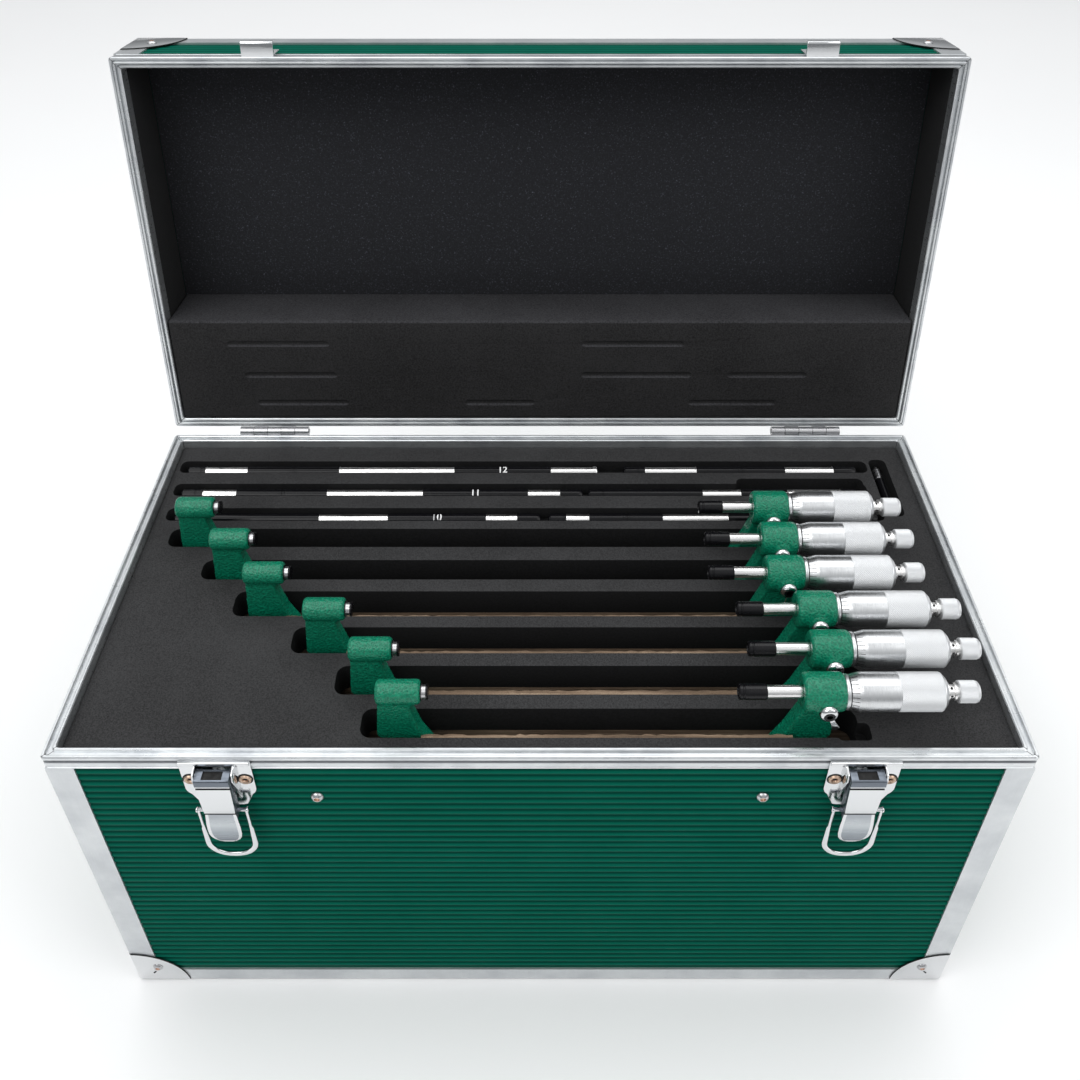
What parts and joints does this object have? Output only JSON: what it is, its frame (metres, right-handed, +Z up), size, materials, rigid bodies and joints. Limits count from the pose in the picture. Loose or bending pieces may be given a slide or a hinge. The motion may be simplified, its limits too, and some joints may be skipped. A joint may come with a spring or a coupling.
{
  "type": "micrometer case",
  "caption": "Hinged, latched case with a slotted foam tray that holds outside micrometers and their setting rods.",
  "frame": {"origin": "middle of the case's underside, on the floor plane", "axes": "+X to the right along the case, -Y towards the latched front, +Z up"},
  "size_m": [0.4844, 0.3373, 0.4748],
  "materials": {
    "aluminium_profile": "brushed, anodised",
    "black_sleeve": "glossy",
    "bright_rivets": "domed, bright",
    "bright_steel": "ground",
    "chrome_fittings": "polished plate",
    "dark_foam": "fine-cell foam",
    "fibreboard": "raw sawn edge",
    "green_panel": "satin ribbed laminate",
    "hammered_green": "hammered enamel",
    "satin_chrome": "satin chrome",
    "speckled_lining": "speckled dark lining"
  },
  "bodies": {
    "case": {"base_board": "green_panel", "front_panel": "green_panel", "rear_panel": "green_panel", "end_panels": "green_panel", "body_edge_profiles": "aluminium_profile", "body_rim": "aluminium_profile", "body_corner_caps": "chrome_fittings", "body_rivets": "bright_rivets", "hinge_body_leaves": "bright_steel", "hinge_pins": "bright_steel", "latch_plates": "chrome_fittings", "partition_boards": "fibreboard", "foam_tray": "dark_foam", "bottom_foam": "dark_foam"},
    "lid": {"lid_top_panel": "green_panel", "lid_walls": "green_panel", "lid_edge_profiles": "aluminium_profile", "lid_rim": "aluminium_profile", "lid_corner_caps": "chrome_fittings", "hinge_lid_leaves": "bright_steel", "latch_keepers": "chrome_fittings", "handle_brackets": "chrome_fittings", "lid_lining": "speckled_lining", "lid_foam_block": "dark_foam"},
    "handle": {"carry_handle": "black_sleeve"},
    "lever_left": {"latch_lever_left": "chrome_fittings"},
    "bail_left": {"latch_bail_left": "chrome_fittings"},
    "lever_right": {"latch_lever_right": "chrome_fittings"},
    "bail_right": {"latch_bail_right": "chrome_fittings"},
    "frame_12": {"frame_12_inch": "hammered_green"},
    "spindle_12": {"spindle_12_inch": "bright_steel"},
    "thimble_12": {"thimble_12_inch": "satin_chrome"},
    "lock_12": {"lock_lever_12_inch": "chrome_fittings"},
    "frame_11": {"frame_11_inch": "hammered_green"},
    "spindle_11": {"spindle_11_inch": "bright_steel"},
    "thimble_11": {"thimble_11_inch": "satin_chrome"},
    "lock_11": {"lock_lever_11_inch": "chrome_fittings"},
    "frame_10": {"frame_10_inch": "hammered_green"},
    "spindle_10": {"spindle_10_inch": "bright_steel"},
    "thimble_10": {"thimble_10_inch": "satin_chrome"},
    "lock_10": {"lock_lever_10_inch": "chrome_fittings"},
    "frame_9": {"frame_9_inch": "hammered_green"},
    "spindle_9": {"spindle_9_inch": "bright_steel"},
    "thimble_9": {"thimble_9_inch": "satin_chrome"},
    "lock_9": {"lock_lever_9_inch": "chrome_fittings"},
    "frame_8": {"frame_8_inch": "hammered_green"},
    "spindle_8": {"spindle_8_inch": "bright_steel"},
    "thimble_8": {"thimble_8_inch": "satin_chrome"},
    "lock_8": {"lock_lever_8_inch": "chrome_fittings"},
    "frame_7": {"frame_7_inch": "hammered_green"},
    "spindle_7": {"spindle_7_inch": "bright_steel"},
    "thimble_7": {"thimble_7_inch": "satin_chrome"},
    "lock_7": {"lock_lever_7_inch": "chrome_fittings"},
    "rod_1_left": {"setting_rod_1_left": "black_sleeve"},
    "rod_1_right": {"setting_rod_1_right": "black_sleeve"},
    "rod_2_left": {"setting_rod_2_left": "black_sleeve"},
    "rod_2_right": {"setting_rod_2_right": "black_sleeve"},
    "rod_3_left": {"setting_rod_3_left": "black_sleeve"},
    "rod_3_right": {"setting_rod_3_right": "black_sleeve"},
    "spanner": {"spanner": "black_sleeve"}
  },
  "joints": [
    {"name": "lid_hinge", "type": "hinge", "parent": "case", "child": "lid", "pos_m": [0, 0.1235, 0.22525], "axis": [-1, 0, 0], "range_deg": [-98, 0]},
    {"name": "handle_swing", "type": "hinge", "parent": "lid", "child": "handle", "pos_m": [0, 0.19669, 0.33968], "axis": [1, 0, 0], "range_deg": [-6, 164]},
    {"name": "latch_lever_left", "type": "hinge", "parent": "case", "child": "lever_left", "pos_m": [-0.157, -0.1245, 0.217], "axis": [1, 0, 0], "range_deg": [-95, 0]},
    {"name": "latch_bail_left", "type": "hinge", "parent": "lever_left", "child": "bail_left", "pos_m": [-0.157, -0.1255, 0.19], "axis": [-1, 0, 0], "range_deg": [0, 180]},
    {"name": "latch_lever_right", "type": "hinge", "parent": "case", "child": "lever_right", "pos_m": [0.157, -0.1245, 0.217], "axis": [1, 0, 0], "range_deg": [-95, 0]},
    {"name": "latch_bail_right", "type": "hinge", "parent": "lever_right", "child": "bail_right", "pos_m": [0.157, -0.1255, 0.19], "axis": [-1, 0, 0], "range_deg": [0, 180]},
    {"name": "lift_12_inch", "type": "slide", "parent": "case", "child": "frame_12", "axis": [0, 0, 1], "range_m": [0, 0.15]},
    {"name": "spindle_12_inch", "type": "slide", "parent": "frame_12", "child": "spindle_12", "axis": [1, 0, 0], "range_m": [0, 0.0254]},
    {"name": "thimble_12_inch", "type": "hinge", "parent": "spindle_12", "child": "thimble_12", "pos_m": [0.152, 0.032, 0.244], "axis": [-1, 0, 0], "range_deg": [0, 14400]},
    {"name": "lock_12_inch", "type": "hinge", "parent": "frame_12", "child": "lock_12", "pos_m": [0.13425, 0.0202, 0.242], "axis": [0, 1, 0], "range_deg": [-30, 0]},
    {"name": "lift_11_inch", "type": "slide", "parent": "case", "child": "frame_11", "axis": [0, 0, 1], "range_m": [0, 0.135]},
    {"name": "spindle_11_inch", "type": "slide", "parent": "frame_11", "child": "spindle_11", "axis": [1, 0, 0], "range_m": [0, 0.0254]},
    {"name": "thimble_11_inch", "type": "hinge", "parent": "spindle_11", "child": "thimble_11", "pos_m": [0.1525, 0.0065, 0.244], "axis": [-1, 0, 0], "range_deg": [0, 14400]},
    {"name": "lock_11_inch", "type": "hinge", "parent": "frame_11", "child": "lock_11", "pos_m": [0.13475, -0.0053, 0.242], "axis": [0, 1, 0], "range_deg": [-30, 0]},
    {"name": "lift_10_inch", "type": "slide", "parent": "case", "child": "frame_10", "axis": [0, 0, 1], "range_m": [0, 0.125]},
    {"name": "spindle_10_inch", "type": "slide", "parent": "frame_10", "child": "spindle_10", "axis": [1, 0, 0], "range_m": [0, 0.0254]},
    {"name": "thimble_10_inch", "type": "hinge", "parent": "spindle_10", "child": "thimble_10", "pos_m": [0.1514, -0.0189, 0.244], "axis": [-1, 0, 0], "range_deg": [0, 14400]},
    {"name": "lock_10_inch", "type": "hinge", "parent": "frame_10", "child": "lock_10", "pos_m": [0.13365, -0.0307, 0.242], "axis": [0, 1, 0], "range_deg": [-30, 0]},
    {"name": "lift_9_inch", "type": "slide", "parent": "case", "child": "frame_9", "axis": [0, 0, 1], "range_m": [0, 0.11]},
    {"name": "spindle_9_inch", "type": "slide", "parent": "frame_9", "child": "spindle_9", "axis": [1, 0, 0], "range_m": [0, 0.0254]},
    {"name": "thimble_9_inch", "type": "hinge", "parent": "spindle_9", "child": "thimble_9", "pos_m": [0.163, -0.0444, 0.244], "axis": [-1, 0, 0], "range_deg": [0, 14400]},
    {"name": "lock_9_inch", "type": "hinge", "parent": "frame_9", "child": "lock_9", "pos_m": [0.14525, -0.0562, 0.242], "axis": [0, 1, 0], "range_deg": [-30, 0]},
    {"name": "lift_8_inch", "type": "slide", "parent": "case", "child": "frame_8", "axis": [0, 0, 1], "range_m": [0, 0.1]},
    {"name": "spindle_8_inch", "type": "slide", "parent": "frame_8", "child": "spindle_8", "axis": [1, 0, 0], "range_m": [0, 0.0254]},
    {"name": "thimble_8_inch", "type": "hinge", "parent": "spindle_8", "child": "thimble_8", "pos_m": [0.165, -0.0704, 0.244], "axis": [-1, 0, 0], "range_deg": [0, 14400]},
    {"name": "lock_8_inch", "type": "hinge", "parent": "frame_8", "child": "lock_8", "pos_m": [0.14725, -0.0822, 0.242], "axis": [0, 1, 0], "range_deg": [-30, 0]},
    {"name": "lift_7_inch", "type": "slide", "parent": "case", "child": "frame_7", "axis": [0, 0, 1], "range_m": [0, 0.085]},
    {"name": "spindle_7_inch", "type": "slide", "parent": "frame_7", "child": "spindle_7", "axis": [1, 0, 0], "range_m": [0, 0.0254]},
    {"name": "thimble_7_inch", "type": "hinge", "parent": "spindle_7", "child": "thimble_7", "pos_m": [0.1563, -0.0964, 0.244], "axis": [-1, 0, 0], "range_deg": [0, 14400]},
    {"name": "lock_7_inch", "type": "hinge", "parent": "frame_7", "child": "lock_7", "pos_m": [0.13855, -0.1082, 0.242], "axis": [0, 1, 0], "range_deg": [-30, 0]},
    {"name": "lift_rod_1_left", "type": "slide", "parent": "case", "child": "rod_1_left", "axis": [0, 0, 1], "range_m": [0, 0.04]},
    {"name": "lift_rod_1_right", "type": "slide", "parent": "case", "child": "rod_1_right", "axis": [0, 0, 1], "range_m": [0, 0.04]},
    {"name": "lift_rod_2_left", "type": "slide", "parent": "case", "child": "rod_2_left", "axis": [0, 0, 1], "range_m": [0, 0.04]},
    {"name": "lift_rod_2_right", "type": "slide", "parent": "case", "child": "rod_2_right", "axis": [0, 0, 1], "range_m": [0, 0.04]},
    {"name": "lift_rod_3_left", "type": "slide", "parent": "case", "child": "rod_3_left", "axis": [0, 0, 1], "range_m": [0, 0.04]},
    {"name": "lift_rod_3_right", "type": "slide", "parent": "case", "child": "rod_3_right", "axis": [0, 0, 1], "range_m": [0, 0.04]},
    {"name": "lift_spanner", "type": "slide", "parent": "case", "child": "spanner", "axis": [0, 0, 1], "range_m": [0, 0.04]}
  ],
  "couplings": [
    {"joint": "thimble_12_inch", "follows": "spindle_12_inch", "rad_per_m": 9894.8},
    {"joint": "thimble_11_inch", "follows": "spindle_11_inch", "rad_per_m": 9894.8},
    {"joint": "thimble_10_inch", "follows": "spindle_10_inch", "rad_per_m": 9894.8},
    {"joint": "thimble_9_inch", "follows": "spindle_9_inch", "rad_per_m": 9894.8},
    {"joint": "thimble_8_inch", "follows": "spindle_8_inch", "rad_per_m": 9894.8},
    {"joint": "thimble_7_inch", "follows": "spindle_7_inch", "rad_per_m": 9894.8}
  ]
}
